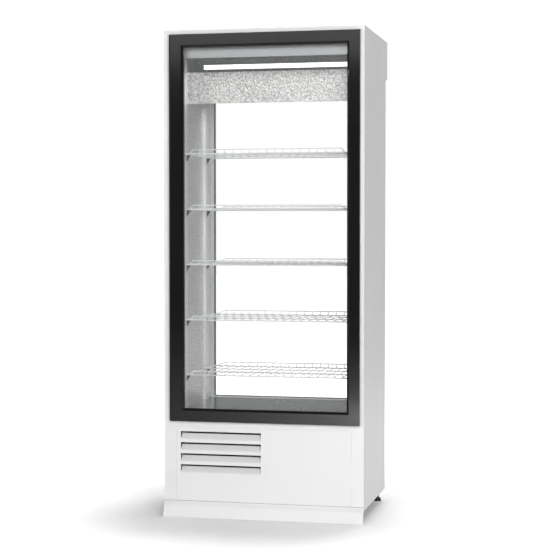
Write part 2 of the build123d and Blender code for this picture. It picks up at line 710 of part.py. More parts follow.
def wire_shelves():
    """Welded wire shelves: rim, two middle bars, depth wires bent up to a lip at each end."""
    rim_z = LOWEST_SHELF_Z + RIM_RADIUS
    wire_z = rim_z + RIM_RADIUS + DEPTH_WIRE_RADIUS - WELD_SINK
    lip_z = rim_z + SHELF_LIP_RISE
    front_y = depth(SHELF_FRONT_Y)
    rear_y = depth(SHELF_REAR_Y)
    span = rear_y - front_y
    with BuildPart() as shelf:
        for y in (front_y, rear_y):
            with Locations(Plane((0, y, rim_z), z_dir=(1, 0, 0))):
                Cylinder(RIM_RADIUS, 2 * (SHELF_HALF_WIDTH + RIM_RADIUS))
        for hand in (-1, 1):
            with Locations(Plane((hand * SHELF_HALF_WIDTH, front_y + span / 2, rim_z), z_dir=(0, 1, 0))):
                Cylinder(SIDE_RIM_RADIUS, span)
        for y in (front_y + span / 3, rear_y - span / 3):
            with Locations(Plane((0, y, rim_z + RIM_RADIUS - MIDDLE_BAR_RADIUS), z_dir=(1, 0, 0))):
                Cylinder(MIDDLE_BAR_RADIUS, 2 * SHELF_HALF_WIDTH)
        for y, lip_half in ((front_y - WIRE_BEND, FRONT_LIP_HALF), (rear_y + WIRE_BEND, REAR_LIP_HALF)):
            across = Plane((0, y, 0), x_dir=(1, 0, 0), z_dir=(0, -1, 0))
            points = [(-LIP_FOOT_X, rim_z), (-lip_half, lip_z), (lip_half, lip_z), (LIP_FOOT_X, rim_z)]
            add(bent_wire(across, points, WIRE_BEND, LIP_WIRE_RADIUS))
        first = -DEPTH_WIRE_PITCH * (DEPTH_WIRE_COUNT - 1) / 2
        for index in range(DEPTH_WIRE_COUNT):
            x = first + index * DEPTH_WIRE_PITCH
            along = Plane((x, 0, 0), x_dir=(0, 1, 0), z_dir=(1, 0, 0))
            front_top = lip_z if abs(x) < FRONT_LIP_HALF else rim_z + FRONT_END_RISE
            rear_top = lip_z if abs(x) < REAR_LIP_HALF else rim_z + REAR_END_RISE
            points = [(front_y - WIRE_BEND, front_top), (front_y - WIRE_BEND, wire_z),
                      (rear_y + WIRE_BEND, wire_z), (rear_y + WIRE_BEND, rear_top)]
            add(bent_wire(along, points, WIRE_BEND, DEPTH_WIRE_RADIUS))
    for index in range(SHELF_COUNT):
        with BuildPart() as placed:
            with Locations((0, 0, index * SHELF_PITCH)):
                add(shelf.part)
        save(placed, f"shelf_{index + 1}")


# Fascia, lamp and cooling unit

def fascia():
    with BuildPart() as panel:
        block((-LINER_HALF_WIDTH, LINER_HALF_WIDTH), (depth(FASCIA_Y), depth(FASCIA_Y + SHEET)),
              (FASCIA_BASE_Z, FASCIA_TOP_Z))
        for fold_z in (FASCIA_BASE_Z, FASCIA_TOP_Z - SHEET):
            block((-LINER_HALF_WIDTH, LINER_HALF_WIDTH), (depth(FASCIA_Y), depth(LAMP_Y)),
                  (fold_z, fold_z + SHEET))
    save(panel, "fascia")


def lamp_housing():
    with BuildPart() as housing:
        block((LAMP_LEFT_X, LAMP_RIGHT_X), (depth(LAMP_Y), depth(LAMP_Y + LAMP_DEPTH)), (LAMP_BASE_Z, CEILING_Z))
    save(housing, "lamp_housing")


def lamp_diffuser():
    middle = LAMP_Y + LAMP_DEPTH / 2
    with BuildPart() as diffuser:
        block((DIFFUSER_LEFT_X, DIFFUSER_RIGHT_X),
              (depth(middle - DIFFUSER_DEPTH / 2), depth(middle + DIFFUSER_DEPTH / 2)),
              (LAMP_BASE_Z - DIFFUSER_HEIGHT, LAMP_BASE_Z))
        fillet(diffuser.edges().filter_by(Axis.X).group_by(Axis.Z)[0], DIFFUSER_DEPTH / 3)
    save(diffuser, "lamp_diffuser")


def evaporator_housing():
    """Folded stucco duct under the ceiling; the slot above its front edge lets the cold air out."""
    t = EVAPORATOR_SHEET
    rear_base = EVAPORATOR_BASE_Z + EVAPORATOR_FALL
    hem = EVAPORATOR_FRONT_Y + LIP_LENGTH
    outline = [(EVAPORATOR_FRONT_Y, EVAPORATOR_LIP_Z), (EVAPORATOR_FRONT_Y, EVAPORATOR_BASE_Z),
               (EVAPORATOR_REAR_Y, rear_base), (EVAPORATOR_REAR_Y, CEILING_Z),
               (EVAPORATOR_REAR_Y - t, CEILING_Z),
               (EVAPORATOR_REAR_Y - t, rear_base + t), (EVAPORATOR_FRONT_Y + t, EVAPORATOR_BASE_Z + t),
               (EVAPORATOR_FRONT_Y + t, EVAPORATOR_LIP_Z - t), (hem, EVAPORATOR_LIP_Z - t),
               (hem, EVAPORATOR_LIP_Z)]
    with BuildPart() as housing:
        with BuildSketch(cross_plane(-LINER_HALF_WIDTH)):
            with BuildLine():
                Polyline(*outline, close=True)
            make_face()
        extrude(amount=2 * LINER_HALF_WIDTH)
        with BuildSketch(lying_plane(0, depth(EVAPORATOR_REAR_Y), 0)):
            with Locations(*[(hand * COOLER_FAN_X, COOLER_FAN_Z) for hand in (-1, 1)]):
                Circle(COOLER_FAN_RADIUS + FAN_TIP_GAP)
        extrude(amount=t, mode=Mode.SUBTRACT)
    save(housing, "evaporator_housing")


def finned_coil(name, x, y, z, hanger_top, fin_pitch, rows, tube_radius):
    """Fins on horizontal tubes, with a plate at each end that carries the block."""
    fin = FIN_THICKNESS
    fin_count = int((x[1] - x[0]) / fin_pitch) + 1
    pitch = (z[1] - z[0]) / rows
    tube_ys = (y[0] + (y[1] - y[0]) / 4, y[1] - (y[1] - y[0]) / 4)
    tube_zs = [z[0] + pitch * (row + 0.5) for row in range(rows)]
    stub = 3 * fin
    with BuildPart() as coil:
        with BuildSketch(Plane.YZ.offset(x[0] - stub)):
            with Locations(*[(tube_y, tube_z) for tube_y in tube_ys for tube_z in tube_zs]):
                Circle(tube_radius)
        extrude(amount=x[1] - x[0] + 2 * stub)
        for index in range(fin_count):
            middle = x[0] + (x[1] - x[0]) * index / (fin_count - 1)
            block((middle - fin / 2, middle + fin / 2), y, z)
        for end in x:
            block((end - fin, end + fin), y, (min(z[0], hanger_top), max(z[1], hanger_top)))
        for end, outward in ((x[0] - stub, -1), (x[1] + stub, 1)):
            first_row = 0 if outward < 0 else 1
            for tube_y in tube_ys:
                for row in range(first_row, rows - 1, 2):
                    turn_z = (tube_zs[row] + tube_zs[row + 1]) / 2
                    with BuildSketch(Plane((end, tube_y, tube_zs[row]), x_dir=(0, 1, 0), z_dir=(1, 0, 0))):
                        Circle(tube_radius)
                    revolve(axis=Axis((end, tube_y, turn_z), (0, -outward, 0)), revolution_arc=180)
    save(coil, name)


def fan_rotor(name, x, y, z, facing, radius, hub_radius, shaft_radius):
    """Hub with five pitched blades; y is the hub's face on the motor's side, and facing leads away from it."""
    length = radius - hub_radius + BLADE_ROOT
    middle_y = y - facing * FAN_DEPTH / 2
    with BuildPart() as fan:
        with BuildSketch(lying_plane(x, y, z, facing)):
            Circle(hub_radius)
        extrude(amount=FAN_DEPTH)
        with BuildSketch(lying_plane(x, y, z, facing)):
            Circle(shaft_radius + PIN_CLEARANCE)
        extrude(amount=FAN_DEPTH - HUB_CAP, mode=Mode.SUBTRACT)
        for index in range(BLADE_COUNT):
            spoke = Rotation(0, 360 * index / BLADE_COUNT, 0)
            reach = Location((hub_radius - BLADE_ROOT + length / 2, 0, 0))
            with Locations(Location((x, middle_y, z)) * spoke * reach * Rotation(FAN_PITCH, 0, 0)):
                Box(length, BLADE_THICKNESS, radius * CHORD_SHARE)
    trimmed = fan.part & Pos(x, middle_y, z) * Rot(90, 0, 0) * Cylinder(radius, 3 * FAN_DEPTH)
    with BuildPart() as rotor:
        add(trimmed)
    save(rotor, name)


def evaporator_fan_motors():
    """Motor on a strap that stands off the housing's rear wall, one per fan."""
    wall = depth(EVAPORATOR_REAR_Y - EVAPORATOR_SHEET)
    strap_half = COOLER_FAN_RADIUS + FAN_TIP_GAP + STRAP_REACH
    strap_z = (COOLER_FAN_Z - STRAP_HALF_HEIGHT, COOLER_FAN_Z + STRAP_HALF_HEIGHT)
    with BuildPart() as motors:
        for hand in (-1, 1):
            x = hand * COOLER_FAN_X
            block((x - strap_half, x + strap_half),
                  (wall - STRAP_STANDOFF, wall - STRAP_STANDOFF + STRAP_THICKNESS), strap_z)
            for end in (-1, 1):
                leg = x + end * strap_half
                block((leg - end * STRAP_LEG, leg), (wall - STRAP_STANDOFF, wall), strap_z)
            with BuildSketch(lying_plane(x, wall - STRAP_STANDOFF - COOLER_MOTOR_BEHIND, COOLER_FAN_Z, -1)):
                Circle(COOLER_MOTOR_RADIUS)
            extrude(amount=COOLER_MOTOR_LENGTH)
            with BuildSketch(lying_plane(x, wall - STRAP_STANDOFF, COOLER_FAN_Z, -1)):
                Circle(COOLER_SHAFT_RADIUS)
            extrude(amount=STRAP_STANDOFF + COOLER_SHAFT_REACH)
    save(motors, "evaporator_fan_motors")


def evaporator_fan_guards():
    """Wire guard behind each fan: rings and two bars on four standing legs."""
    wall = depth(EVAPORATOR_REAR_Y)
    ring_y = wall + GUARD_STANDOFF
    outer = COOLER_FAN_RADIUS + FAN_TIP_GAP + GUARD_REACH
    with BuildPart() as guards:
        for hand in (-1, 1):
            x = hand * COOLER_FAN_X
            for index in range(GUARD_RINGS):
                with Locations(lying_plane(x, ring_y, COOLER_FAN_Z)):
                    Torus(outer * (index + 1) / GUARD_RINGS, GUARD_RING_RADIUS)
            for direction in ((1, 0, 0), (0, 0, 1)):
                with Locations(Plane((x, ring_y, COOLER_FAN_Z), z_dir=direction)):
                    Cylinder(GUARD_BAR_RADIUS, 2 * outer)
            for leg_x, leg_z in ((outer, 0), (-outer, 0), (0, outer), (0, -outer)):
                with BuildSketch(lying_plane(x + leg_x, wall, COOLER_FAN_Z + leg_z, -1)):
                    Circle(GUARD_LEG_RADIUS)
                extrude(amount=GUARD_STANDOFF + GUARD_RING_RADIUS / 2)
    save(guards, "evaporator_fan_guards")


# Machine space

def condenser_shroud():
    """Box behind the condenser that leads the air to the fan."""
    x = (CONDENSER_FAN_X - CONDENSER_HALF_WIDTH, CONDENSER_FAN_X + CONDENSER_HALF_WIDTH)
    z = (CONDENSER_FAN_Z - CONDENSER_HALF_HEIGHT, CONDENSER_FAN_Z + CONDENSER_HALF_HEIGHT)
    front = depth(CONDENSER_FRONT_Y + CONDENSER_DEPTH)
    with BuildPart() as shroud:
        block(x, (front, SHROUD_BACK), z)
        block(grown(x, -SHEET), (front, SHROUD_BACK - SHEET), grown(z, -SHEET), mode=Mode.SUBTRACT)
        with BuildSketch(lying_plane(CONDENSER_FAN_X, SHROUD_BACK, CONDENSER_FAN_Z)):
            Circle(CONDENSER_FAN_RADIUS + FAN_TIP_GAP)
        extrude(amount=2 * SHEET, mode=Mode.SUBTRACT)
    save(shroud, "condenser_shroud")


def condenser_fan_motor():
    """Motor with its shaft towards the condenser, on a bracket from the base pan."""
    motor_y = SHROUD_BACK + MOTOR_GAP
    bracket_x = (CONDENSER_FAN_X - MOTOR_RADIUS, CONDENSER_FAN_X + MOTOR_RADIUS)
    bracket_y = motor_y + BRACKET_BEHIND
    with BuildPart() as motor:
        with BuildSketch(lying_plane(CONDENSER_FAN_X, motor_y, CONDENSER_FAN_Z, -1)):
            Circle(MOTOR_RADIUS)
        extrude(amount=MOTOR_LENGTH)
        with BuildSketch(lying_plane(CONDENSER_FAN_X, motor_y, CONDENSER_FAN_Z)):
            Circle(PIPE_RADIUS)
        extrude(amount=MOTOR_GAP + SHROUD_DEPTH / 2)
        block(bracket_x, (bracket_y, bracket_y + BRACKET_PLATE), (PAN_TOP_Z, CONDENSER_FAN_Z))
        block(bracket_x, (bracket_y, bracket_y + BRACKET_FOOT), (PAN_TOP_Z, PAN_TOP_Z + BRACKET_FOOT_PLATE))
    save(motor, "condenser_fan_motor")


def compressor():
    """Hermetic compressor: welded can on a foot plate, with a terminal box."""
    base = PAN_TOP_Z + GROMMET_HEIGHT
    back = depth(COMPRESSOR_Y) + COMPRESSOR_RADIUS
    with BuildPart() as unit:
        with BuildSketch(Plane.XY.offset(base)):
            with Locations((COMPRESSOR_X, depth(COMPRESSOR_Y))):
                RectangleRounded(2 * (COMPRESSOR_FOOT_X + COMPRESSOR_PLATE_MARGIN),
                                 2 * (COMPRESSOR_FOOT_Y + COMPRESSOR_PLATE_MARGIN), COMPRESSOR_PLATE_CORNER)
        extrude(amount=COMPRESSOR_PLATE)
        with Locations((COMPRESSOR_X, depth(COMPRESSOR_Y), base + COMPRESSOR_PLATE)):
            Cylinder(COMPRESSOR_RADIUS, COMPRESSOR_HEIGHT, align=(Align.CENTER, Align.CENTER, Align.MIN))
        fillet(unit.edges().filter_by(GeomType.CIRCLE).group_by(Axis.Z)[-1], COMPRESSOR_DOME)
        block((COMPRESSOR_X - TERMINAL_HALF_WIDTH, COMPRESSOR_X + TERMINAL_HALF_WIDTH),
              (back - TERMINAL_SINK, back + TERMINAL_PROUD), (base + TERMINAL_RISE[0], base + TERMINAL_RISE[1]))
    save(unit, "compressor")


def compressor_mounts():
    with BuildPart() as mounts:
        with BuildSketch(Plane.XY.offset(PAN_TOP_Z)):
            with Locations((COMPRESSOR_X, depth(COMPRESSOR_Y))):
                with GridLocations(2 * COMPRESSOR_FOOT_X, 2 * COMPRESSOR_FOOT_Y, 2, 2):
                    Circle(GROMMET_RADIUS)
        extrude(amount=GROMMET_HEIGHT)
    save(mounts, "compressor_mounts")


def round_tube(points, bend, radius):
    """Sweep one pipe along straight runs with rounded bends."""
    with BuildPart() as pipe:
        with BuildLine() as route:
            FilletPolyline(*points, radius=bend)
        with BuildSketch(Plane(origin=route.line @ 0, z_dir=route.line % 0)):
            Circle(radius)
        sweep(path=route.line)
    return pipe.part


def refrigerant_pipes():
    """Discharge, liquid and suction pipes, with the filter drier and its capillary."""
    deck = DECK_TOP_Z - SHEET
    can_left = COMPRESSOR_X - COMPRESSOR_RADIUS - PIPE_END_GAP
    can_right = COMPRESSOR_X + COMPRESSOR_RADIUS + PIPE_END_GAP
    can_y = depth(COMPRESSOR_Y)
    coil_end = CONDENSER_FAN_X + CONDENSER_HALF_WIDTH + PIPE_END_GAP
    coil_pitch = 2 * CONDENSER_HALF_HEIGHT / CONDENSER_ROWS
    outlet_z = CONDENSER_FAN_Z - CONDENSER_HALF_HEIGHT + coil_pitch
    inlet_z = CONDENSER_FAN_Z + CONDENSER_HALF_HEIGHT - coil_pitch
    front_y = depth(CONDENSER_FRONT_Y + CONDENSER_DEPTH / 2)
    drier_z = outlet_z + DRIER_RISE
    discharge = [(can_left, can_y, DISCHARGE_Z), (DISCHARGE_X, can_y, DISCHARGE_Z),
                 (DISCHARGE_X, can_y, inlet_z), (DISCHARGE_X, front_y, inlet_z), (coil_end, front_y, inlet_z)]
    liquid = [(coil_end, front_y, outlet_z), (DRIER_X, front_y, outlet_z), (DRIER_X, front_y, drier_z)]
    suction = [(can_right, can_y, SUCTION_Z), (can_right + SUCTION_REACH, can_y, SUCTION_Z),
               (can_right + SUCTION_REACH, can_y, deck)]
    with BuildPart() as pipes:
        for route in (discharge, liquid, suction):
            add(round_tube(route, PIPE_BEND, PIPE_RADIUS))
        for radius, length in ((DRIER_RADIUS, DRIER_LENGTH), (CAPILLARY_RADIUS, deck - drier_z)):
            with Locations((DRIER_X, front_y, drier_z)):
                Cylinder(radius, length, align=(Align.CENTER, Align.CENTER, Align.MIN))
    save(pipes, "refrigerant_pipes")


def evaporation_tray():
    """Tray on the base pan, with the drain tube that ends over it."""
    y = (depth(TRAY_Y[0]), depth(TRAY_Y[1]))
    rim_z = PAN_TOP_Z + TRAY_HEIGHT
    drain_z = PAN_TOP_Z + DRAIN_END_RISE
    with BuildPart() as tray:
        block(TRAY_X, y, (PAN_TOP_Z, rim_z))
        block((TRAY_X[0] + TRAY_WALL, TRAY_X[1] - TRAY_WALL), (y[0] + TRAY_WALL, y[1] - TRAY_WALL),
              (PAN_TOP_Z + TRAY_WALL, rim_z), mode=Mode.SUBTRACT)
        with BuildSketch(Plane.XY.offset(drain_z)):
            with Locations((sum(TRAY_X) / 2, sum(y) / 2)):
                Circle(DRAIN_RADIUS)
                Circle(DRAIN_BORE_RADIUS, mode=Mode.SUBTRACT)
        extrude(amount=DECK_TOP_Z - SHEET - drain_z)
    save(tray, "evaporation_tray")


# Controls on the canopy

def controls():
    """Controller with a display window, and the bezel of the power switch."""
    face = BODY_BACK + CANOPY_FACE
    with BuildPart() as units:
        for x, half_width, half_height in CONTROL_CUTOUTS:
            width = (x - half_width, x + half_width)
            height = (CONTROL_Z - half_height, CONTROL_Z + half_height)
            block(width, (face - CONTROL_DEPTH, face + CONTROL_PROUD), height)
            block(grown(width, BEZEL_WIDTH), (face, face + CONTROL_PROUD), grown(height, BEZEL_WIDTH))
        block((CONTROLLER_X + WINDOW_X[0], CONTROLLER_X + WINDOW_X[1]),
              (face + CONTROL_PROUD - WINDOW_DEPTH, face + CONTROL_PROUD),
              (CONTROL_Z - WINDOW_HALF_HEIGHT, CONTROL_Z + WINDOW_HALF_HEIGHT), mode=Mode.SUBTRACT)
        block(grown((SWITCH_X - ROCKER_HALF_WIDTH, SWITCH_X + ROCKER_HALF_WIDTH), SEAL_GAP),
              (face - ROCKER_WELL, face + CONTROL_PROUD),
              grown((CONTROL_Z - ROCKER_HALF_HEIGHT, CONTROL_Z + ROCKER_HALF_HEIGHT), ROCKER_END_GAP),
              mode=Mode.SUBTRACT)
        with BuildSketch(Plane.YZ.offset(SWITCH_X - ROCKER_PIN_HALF - SEAL_GAP)):
            with Locations((face - ROCKER_PIVOT_IN, CONTROL_Z)):
                Circle(ROCKER_PIN_RADIUS + PIN_CLEARANCE)
        extrude(amount=2 * (ROCKER_PIN_HALF + SEAL_GAP), mode=Mode.SUBTRACT)
    save(units, "controls")


def power_switch():
    """Rocker with its pivot pins, at rest on its lower side."""
    face = BODY_BACK + CANOPY_FACE
    pivot_y = face - ROCKER_PIVOT_IN
    outline = [(-ROCKER_HALF_HEIGHT, -ROCKER_BACK), (ROCKER_HALF_HEIGHT, -ROCKER_BACK),
               (ROCKER_HALF_HEIGHT, ROCKER_END_RISE), (0, ROCKER_MIDDLE_RISE),
               (-ROCKER_HALF_HEIGHT, ROCKER_END_RISE)]
    tilt = radians(ROCKER_TILT)
    turned = [(pivot_y + out * cos(tilt) - up * sin(tilt), CONTROL_Z + out * sin(tilt) + up * cos(tilt))
              for up, out in outline]
    with BuildPart() as rocker:
        with BuildSketch(Plane.YZ.offset(SWITCH_X - ROCKER_HALF_WIDTH)):
            with BuildLine():
                Polyline(*turned, close=True)
            make_face()
        extrude(amount=2 * ROCKER_HALF_WIDTH)
        with BuildSketch(Plane.YZ.offset(SWITCH_X - ROCKER_PIN_HALF)):
            with Locations((pivot_y, CONTROL_Z)):
                Circle(ROCKER_PIN_RADIUS)
        extrude(amount=2 * ROCKER_PIN_HALF)
    save(rocker, "power_switch")


# Doors: what is said of the front door holds for the rear one, half a turn about the cabinet's middle

def door_opening(base, top):
    """Clear opening of a door frame, as limits in x and z."""
    return ((FREE_EDGE_X + FRAME_WIDTH, HINGE_EDGE_X - FRAME_WIDTH), (base + FRAME_WIDTH, top - FRAME_WIDTH))


def ring(plane, outer, inner, thickness):
    """Extrude a rectangular ring inwards from a plane. outer and inner are limits in x and z."""
    with BuildPart() as piece:
        with BuildSketch(plane):
            rectangle(*outer)
            rectangle(*inner, mode=Mode.SUBTRACT)
        extrude(amount=-thickness)
    return piece.part


def door_frame(name, side, base, top):
    """Four mitred members with a bevel towards the glass and a rebate behind it."""
    x, z = door_opening(base, top)
    outer_x = (FREE_EDGE_X, HINGE_EDGE_X)
    face_plane = upright_plane(side, -DOOR_PROUD)
    with BuildPart() as frame:
        with BuildSketch(face_plane):
            rectangle(outer_x, (base, top))
            rectangle(x, z, mode=Mode.SUBTRACT)
        extrude(amount=-FRAME_DEPTH)
        face = frame.faces().sort_by(Axis((0, 0, 0), (0, -side, 0)))[-1]
        chamfer(face.inner_wires()[0].edges(), FRAME_BEVEL)
        with BuildSketch(upright_plane(side, -GLASS_FRONT)):
            rectangle(grown(x, GLASS_REBATE), grown(z, GLASS_REBATE))
        extrude(amount=FRAME_BACK - GLASS_FRONT, mode=Mode.SUBTRACT)
        for end_z in (base, top):
            with Locations((side * HINGE_X, inward(side, -HINGE_PROUD), end_z)):
                Cylinder(PIN_RADIUS + PIN_CLEARANCE, 2 * (PIN_REACH + PIN_BORE_SPARE), mode=Mode.SUBTRACT)
        half = FRAME_WIDTH / 2
        corners = [(FREE_EDGE_X + half, base + half, 45), (HINGE_EDGE_X - half, base + half, -45),
                   (FREE_EDGE_X + half, top - half, -45), (HINGE_EDGE_X - half, top - half, 45)]
        with BuildSketch(face_plane):
            for corner_x, corner_z, turn in corners:
                with Locations((corner_x, corner_z)):
                    Rectangle(2 * FRAME_WIDTH, MITRE_LINE, rotation=turn)
        extrude(amount=-FRAME_DEPTH, mode=Mode.SUBTRACT)
    save(frame, name)


def door_grip(name, side, base, top):
    """Strip down the free edge, with a finger recess behind its lip."""
    with BuildPart() as grip:
        block((side * GRIP_EDGE_X, side * FREE_EDGE_X),
              (inward(side, -DOOR_PROUD), inward(side, GRIP_LIP - DOOR_PROUD)), (base, top))
        block((side * (FREE_EDGE_X - GRIP_WEB), side * FREE_EDGE_X),
              (inward(side, GRIP_LIP - DOOR_PROUD), inward(side, -FRAME_BACK)), (base, top))
    save(grip, name)


def door_sash(name, side, base, top):
    """Inner frame that holds the glass from behind."""
    x, z = door_opening(base, top)
    outer = ((-POST_INSIDE_X + SASH_SIDE_GAP, POST_INSIDE_X - SASH_SIDE_GAP),
             (base + THROAT_BASE_INSET + SASH_BASE_GAP, top - THROAT_TOP_INSET - SASH_BASE_GAP))
    glass_back = 2 * PANE + PANE_GAP - GLASS_FRONT
    pocket = GLASS_REBATE + GLASS_FIT
    with BuildPart() as sash:
        add(ring(upright_plane(side, -FRAME_BACK), outer, (grown(x, pocket), grown(z, pocket)),
                 FRAME_BACK + glass_back))
        add(ring(upright_plane(side, glass_back), outer, (grown(x, SASH_REVEAL), grown(z, SASH_REVEAL)),
                 SASH_DEPTH - FRAME_BACK - glass_back))
        rear = sash.faces().sort_by(Axis((0, 0, 0), (0, side, 0)))[-1]
        chamfer(rear.inner_wires()[0].edges(), SASH_CHAMFER)
    save(sash, name)


def door_glass(name, side, base, top):
    """Two panes of the insulated glass unit."""
    x, z = door_opening(base, top)
    edge = GLASS_REBATE - GLASS_FIT
    with BuildPart() as panes:
        for front in (-GLASS_FRONT, PANE + PANE_GAP - GLASS_FRONT):
            with BuildSketch(upright_plane(side, front)):
                rectangle(grown(x, edge), grown(z, edge))
            extrude(amount=-PANE)
    save(panes, name)


def door_spacer(name, side, base, top):
    """Black spacer round the cavity between the panes."""
    x, z = door_opening(base, top)
    edge = GLASS_REBATE - GLASS_FIT
    inner = edge - SPACER_WIDTH
    with BuildPart() as spacer:
        add(ring(upright_plane(side, PANE - GLASS_FRONT), (grown(x, edge), grown(z, edge)),
                 (grown(x, inner), grown(z, inner)), PANE_GAP))
    save(spacer, name)


def door_gasket(name, side, base, top):
    """Magnetic gasket between the door frame and the posts and rails."""
    x = (-POST_INSIDE_X - GASKET_INSET, POST_INSIDE_X + GASKET_INSET)
    z = (base + THROAT_BASE_INSET - GASKET_INSET, top - THROAT_TOP_INSET + GASKET_INSET)
    with BuildPart() as gasket:
        add(ring(upright_plane(side, -FRAME_BACK), (grown(x, GASKET_WIDTH), grown(z, GASKET_WIDTH)), (x, z),
                 FRAME_BACK - SEAL_GAP))
    save(gasket, name)


def door_hinges():
    """Pin brackets above and below both doors, screwed to the posts."""
    doors = ((FRONT, FRONT_DOOR_BASE_Z, FRONT_DOOR_TOP_Z), (REAR, REAR_DOOR_BASE_Z, REAR_DOOR_TOP_Z))
    with BuildPart() as hinges:
        for side, base, top in doors:
            arm_x = [side * (HINGE_X + offset) for offset in HINGE_ARM]
            leaf_x = [side * (HINGE_X + offset) for offset in HINGE_LEAF_SPAN]
            for edge_z, up in ((base, -1), (top, 1)):
                near_z = edge_z + up * SEAL_GAP
                far_z = near_z + up * HINGE_PLATE
                block(arm_x, (inward(side, -HINGE_PROUD - HINGE_ARM_PROUD), inward(side, 0)), (near_z, far_z))
                block(leaf_x, (inward(side, -HINGE_LEAF), inward(side, 0)),
                      (near_z, near_z + up * HINGE_LEAF_HEIGHT))
                pin_z = (edge_z - up * PIN_REACH + far_z) / 2
                with Locations((side * HINGE_X, inward(side, -HINGE_PROUD), pin_z)):
                    Cylinder(PIN_RADIUS, abs(far_z - edge_z) + PIN_REACH)
    save(hinges, "door_hinges")


def main():
    os.makedirs("parts", exist_ok=True)
    side_casing("side_casing_left", -1)
    side_casing("side_casing_right", 1)
    face_rails("front_rails", FRONT, FRONT_DOOR_BASE_Z + THROAT_BASE_INSET, FRONT_DOOR_TOP_Z - THROAT_TOP_INSET)
    face_rails("rear_rails", REAR, REAR_DOOR_BASE_Z + THROAT_BASE_INSET, REAR_DOOR_TOP_Z - THROAT_TOP_INSET)
    top_cover()
    lower_front_panel()
    plinth()
    rear_canopy()
    rear_lower_panel()
    rear_panel_screws()
    cable_gland()
    base_pan()
    for name, place in zip(("front_left", "front_right", "rear_left", "rear_right"), FOOT_PLACES):
        levelling_foot(f"foot_{name}", *place)
    floor_deck()
    breaker_frames()
    insulation()
    liner_walls()
    liner_floor()
    shelf_uprights()
    shelf_clips()
    wire_shelves()
    fascia()
    lamp_housing()
    lamp_diffuser()
    evaporator_housing()
    finned_coil("evaporator_coil", (-EVAPORATOR_COIL_HALF_WIDTH, EVAPORATOR_COIL_HALF_WIDTH),
                (depth(EVAPORATOR_COIL_Y[0]), depth(EVAPORATOR_COIL_Y[1])), EVAPORATOR_COIL_Z,
                CEILING_Z, EVAPORATOR_FIN_PITCH, EVAPORATOR_ROWS, EVAPORATOR_TUBE_RADIUS)
    evaporator_fan_motors()
    evaporator_fan_guards()
    hub_y = depth(EVAPORATOR_REAR_Y) - COOLER_HUB_BEHIND
    for name, hand in (("evaporator_fan_left", -1), ("evaporator_fan_right", 1)):
        fan_rotor(name, hand * COOLER_FAN_X, hub_y, COOLER_FAN_Z, -1, COOLER_FAN_RADIUS,
                  COOLER_HUB_RADIUS, COOLER_SHAFT_RADIUS)
    finned_coil("condenser_coil",
                (CONDENSER_FAN_X - CONDENSER_HALF_WIDTH, CONDENSER_FAN_X + CONDENSER_HALF_WIDTH),
                (depth(CONDENSER_FRONT_Y), depth(CONDENSER_FRONT_Y + CONDENSER_DEPTH)),
                (CONDENSER_FAN_Z - CONDENSER_HALF_HEIGHT, CONDENSER_FAN_Z + CONDENSER_HALF_HEIGHT),
                PAN_TOP_Z, CONDENSER_FIN_PITCH, CONDENSER_ROWS, PIPE_RADIUS)
    condenser_shroud()
    condenser_fan_motor()
    fan_rotor("condenser_fan", CONDENSER_FAN_X, SHROUD_BACK + CONDENSER_HUB_BEHIND, CONDENSER_FAN_Z, 1,
              CONDENSER_FAN_RADIUS, CONDENSER_HUB_RADIUS, PIPE_RADIUS)
    compressor()
    compressor_mounts()
    refrigerant_pipes()
    evaporation_tray()
    controls()
    power_switch()
    for side, word, base, top in ((FRONT, "front", FRONT_DOOR_BASE_Z, FRONT_DOOR_TOP_Z),
                                  (REAR, "rear", REAR_DOOR_BASE_Z, REAR_DOOR_TOP_Z)):
        door_frame(f"{word}_door_frame", side, base, top)
        door_grip(f"{word}_door_grip", side, base, top)
        door_sash(f"{word}_door_sash", side, base, top)
        door_glass(f"{word}_door_glass", side, base, top)
        door_spacer(f"{word}_door_spacer", side, base, top)
        door_gasket(f"{word}_door_gasket", side, base, top)
    door_hinges()


main()
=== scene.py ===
"""Double-sided display fridge: the finishes of its CAD pieces, studio floor, light and camera."""
import json
from math import radians

import bpy
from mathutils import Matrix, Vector

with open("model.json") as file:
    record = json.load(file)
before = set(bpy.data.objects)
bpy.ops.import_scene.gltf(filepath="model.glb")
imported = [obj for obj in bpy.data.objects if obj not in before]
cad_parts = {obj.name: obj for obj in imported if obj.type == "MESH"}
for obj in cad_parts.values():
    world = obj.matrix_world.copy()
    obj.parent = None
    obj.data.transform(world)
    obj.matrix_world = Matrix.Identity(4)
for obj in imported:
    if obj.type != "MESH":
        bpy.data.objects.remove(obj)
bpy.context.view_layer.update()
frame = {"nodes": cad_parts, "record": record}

nodes = frame["nodes"]

MM = 0.001
WHITE = (1, 1, 1, 1)
BLACK = (0, 0, 0, 1)

# Widths of the surface detail. Real stucco cells are about 5 mm across; they are drawn 7 mm wide,
# because finer ones vanish at this distance.
ORANGE_PEEL = 2 * MM
COAT_CLOUD = 400 * MM
STUCCO_CELL = 7 * MM
HAIRLINE = 0.5 * MM
ZINC_SPANGLE = 6 * MM
MOULD_GRIT = 0.8 * MM
FOAM_CELL = 2 * MM
GLASS_WAVE = 250 * MM
OPAL_GRIT = 1.5 * MM

# Relief of the surface detail: depth in metres, then strength.
ORANGE_PEEL_RELIEF = (0.02 * MM, 0.3)
STUCCO_RELIEF = (2.0 * MM, 0.8)
HAIRLINE_RELIEF = (0.03 * MM, 0.25)
MOULD_GRIT_RELIEF = (0.04 * MM, 0.3)
GLASS_WAVE_RELIEF = (0.02 * MM, 0.1)
OPAL_GRIT_RELIEF = (0.05 * MM, 0.2)

